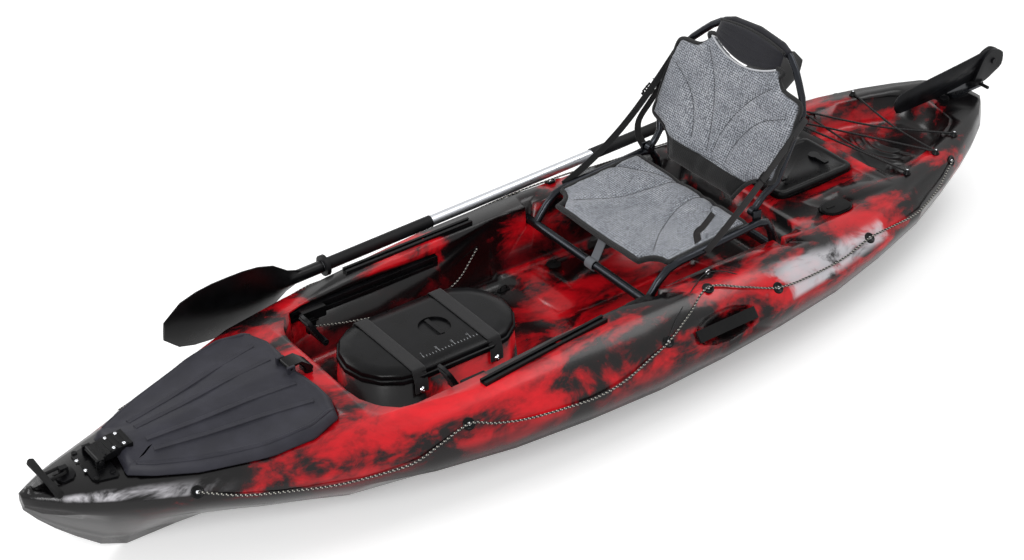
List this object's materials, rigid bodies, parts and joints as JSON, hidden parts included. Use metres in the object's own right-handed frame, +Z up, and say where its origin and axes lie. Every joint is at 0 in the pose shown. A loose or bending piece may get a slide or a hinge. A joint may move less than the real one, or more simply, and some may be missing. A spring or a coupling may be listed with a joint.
{
  "type": "fishing kayak",
  "caption": "Sit-on-top fishing kayak with framed mesh seat, hatches, foot braces, rod holders, folded rudder and a paddle lying on the gunwale.",
  "frame": {"origin": "mid-length on the centreline, on the flat of the keel", "axes": "+X towards the bow, +Y to port, +Z up"},
  "size_m": [3.177, 0.88, 0.7713],
  "materials": {
    "gloss_red": "glossy marbled rotomoulded polyethylene",
    "charcoal": "matte moulded polyethylene",
    "black_plastic": "satin moulded nylon",
    "rubber_black": "soft moulded rubber",
    "steel": "stainless steel",
    "alu_tube": "satin anodised tube",
    "alu_black": "black anodised tube",
    "mesh_grey": "grey spacer mesh",
    "fabric_black": "woven polyester",
    "cord_black": "braided cord with light flecks"
  },
  "bodies": {
    "hull": {"hull_stern": "gloss_red", "hull_rear_deck": "gloss_red", "hull_seat_well": "gloss_red", "hull_footwell": "gloss_red", "hull_bow": "gloss_red", "bow_hatch_seal": "rubber_black", "bow_hinge_base": "black_plastic", "bow_latch_catch": "black_plastic", "bow_toggle_fitting": "black_plastic", "deck_line_port": "cord_black", "deck_line_starboard": "cord_black", "accessory_rail_port": "black_plastic", "accessory_rail_starboard": "black_plastic", "foot_rail_port": "black_plastic", "foot_rail_starboard": "black_plastic", "rudder_line_port": "cord_black", "rudder_line_starboard": "cord_black", "pod_rim": "black_plastic", "scupper_plug_port": "rubber_black", "scupper_plug_starboard": "rubber_black", "floor_pad_eye": "black_plastic", "seat_base_frame": "alu_tube", "seat_pan": "mesh_grey", "seat_strap_port": "fabric_black", "seat_strap_starboard": "fabric_black", "rear_hatch_frame": "black_plastic", "rod_holder_port": "black_plastic", "rod_holder_starboard": "black_plastic", "carry_handle_port": "rubber_black", "carry_handle_starboard": "rubber_black", "tank_bungee": "cord_black", "rudder_bracket": "alu_black", "rudder_rest": "black_plastic"},
    "bow_hatch": {"bow_hatch_lid": "charcoal", "bow_hinge_strap": "black_plastic"},
    "bow_latch": {"bow_latch_lever": "black_plastic"},
    "bow_toggle": {"bow_toggle": "rubber_black"},
    "pod_cover": {"pod_lid": "black_plastic", "pod_strap_front": "fabric_black", "pod_strap_rear": "fabric_black"},
    "pod_knob": {"pod_knob": "black_plastic"},
    "seat_back": {"seat_back_frame": "alu_black", "seat_back_pad": "mesh_grey", "seat_head_panel": "fabric_black"},
    "carriage_port": {"pedal_carriage_port": "black_plastic"},
    "carriage_starboard": {"pedal_carriage_starboard": "black_plastic"},
    "pedal_port": {"pedal_port": "charcoal"},
    "pedal_starboard": {"pedal_starboard": "charcoal"},
    "rear_hatch": {"rear_hatch_lid": "black_plastic"},
    "rear_latch_front": {"rear_latch_front": "black_plastic"},
    "rear_latch_aft": {"rear_latch_aft": "black_plastic"},
    "rod_cap_port": {"rod_cap_port": "rubber_black"},
    "rod_cap_starboard": {"rod_cap_starboard": "rubber_black"},
    "rudder_yoke": {"rudder_yoke": "black_plastic"},
    "rudder_blade": {"rudder_blade": "black_plastic"},
    "paddle": {"paddle_shaft": "alu_tube", "paddle_grip_front": "rubber_black", "paddle_grip_rear": "rubber_black", "paddle_blade_front": "black_plastic", "paddle_blade_rear": "black_plastic"}
  },
  "joints": [
    {"name": "bow_hatch_hinge", "type": "hinge", "parent": "hull", "child": "bow_hatch", "pos_m": [1.34, 0, 0.28575], "axis": [0, 1, 0], "range_deg": [0, 95]},
    {"name": "bow_latch", "type": "hinge", "parent": "bow_hatch", "child": "bow_latch", "pos_m": [0.822, 0, 0.31906], "axis": [0, 1, 0], "range_deg": [0, 110]},
    {"name": "bow_toggle", "type": "hinge", "parent": "hull", "child": "bow_toggle", "pos_m": [1.416, 0, 0.2783], "axis": [0, -1, 0], "range_deg": [0, 120]},
    {"name": "pod_lift", "type": "slide", "parent": "hull", "child": "pod_cover", "axis": [0, 0, 1], "range_m": [0, 0.25]},
    {"name": "pod_knob", "type": "hinge", "parent": "pod_cover", "child": "pod_knob", "pos_m": [0.388, 0, 0.2496], "axis": [0, 0, 1], "range_deg": [0, 90]},
    {"name": "seat_back_fold", "type": "hinge", "parent": "hull", "child": "seat_back", "pos_m": [-0.486, 0, 0.372], "axis": [0, 1, 0], "range_deg": [0, 95], "deforming": ["seat_strap_port", "seat_strap_starboard"]},
    {"name": "foot_brace_port", "type": "slide", "parent": "hull", "child": "carriage_port", "axis": [1, 0, 0], "range_m": [-0.19, 0.165], "deforming": ["rudder_line_port"]},
    {"name": "foot_brace_starboard", "type": "slide", "parent": "hull", "child": "carriage_starboard", "axis": [1, 0, 0], "range_m": [-0.35, 0.01], "deforming": ["rudder_line_starboard"]},
    {"name": "pedal_tilt_port", "type": "hinge", "parent": "carriage_port", "child": "pedal_port", "pos_m": [0.454, 0.226, 0.2015], "axis": [0, 1, 0], "range_deg": [-25, 25], "deforming": ["rudder_line_port"]},
    {"name": "pedal_tilt_starboard", "type": "hinge", "parent": "carriage_starboard", "child": "pedal_starboard", "pos_m": [0.61, -0.226, 0.2015], "axis": [0, 1, 0], "range_deg": [-25, 25], "deforming": ["rudder_line_starboard"]},
    {"name": "rear_hatch_hinge", "type": "hinge", "parent": "hull", "child": "rear_hatch", "pos_m": [-0.832, -0.104, 0.2944], "axis": [1, 0, 0], "range_deg": [0, 100]},
    {"name": "rear_latch_front", "type": "hinge", "parent": "rear_hatch", "child": "rear_latch_front", "pos_m": [-0.753, 0, 0.2944], "axis": [0, 0, 1], "range_deg": [0, 90]},
    {"name": "rear_latch_aft", "type": "hinge", "parent": "rear_hatch", "child": "rear_latch_aft", "pos_m": [-0.911, 0, 0.2944], "axis": [0, 0, 1], "range_deg": [-90, 0]},
    {"name": "rod_cap_port", "type": "hinge", "parent": "hull", "child": "rod_cap_port", "pos_m": [-0.7474, 0.216, 0.27745], "axis": [0, 1, 0], "range_deg": [0, 94]},
    {"name": "rod_cap_starboard", "type": "hinge", "parent": "hull", "child": "rod_cap_starboard", "pos_m": [-0.7474, -0.216, 0.27745], "axis": [0, 1, 0], "range_deg": [0, 94]},
    {"name": "rudder_steer", "type": "hinge", "parent": "hull", "child": "rudder_yoke", "pos_m": [-1.552, 0, 0.3241], "axis": [0, 0, 1], "range_deg": [-25, 25]},
    {"name": "rudder_blade", "type": "hinge", "parent": "rudder_yoke", "child": "rudder_blade", "pos_m": [-1.612, 0, 0.38213], "axis": [0, -1, 0], "range_deg": [0, 250]},
    {"name": "paddle_lift", "type": "slide", "parent": "hull", "child": "paddle", "axis": [0, 0, 1], "range_m": [0, 0.25]}
  ],
  "couplings": [
    {"joint": "pedal_tilt_port", "follows": "rudder_steer", "ratio": -1},
    {"joint": "pedal_tilt_starboard", "follows": "rudder_steer", "ratio": 1}
  ]
}
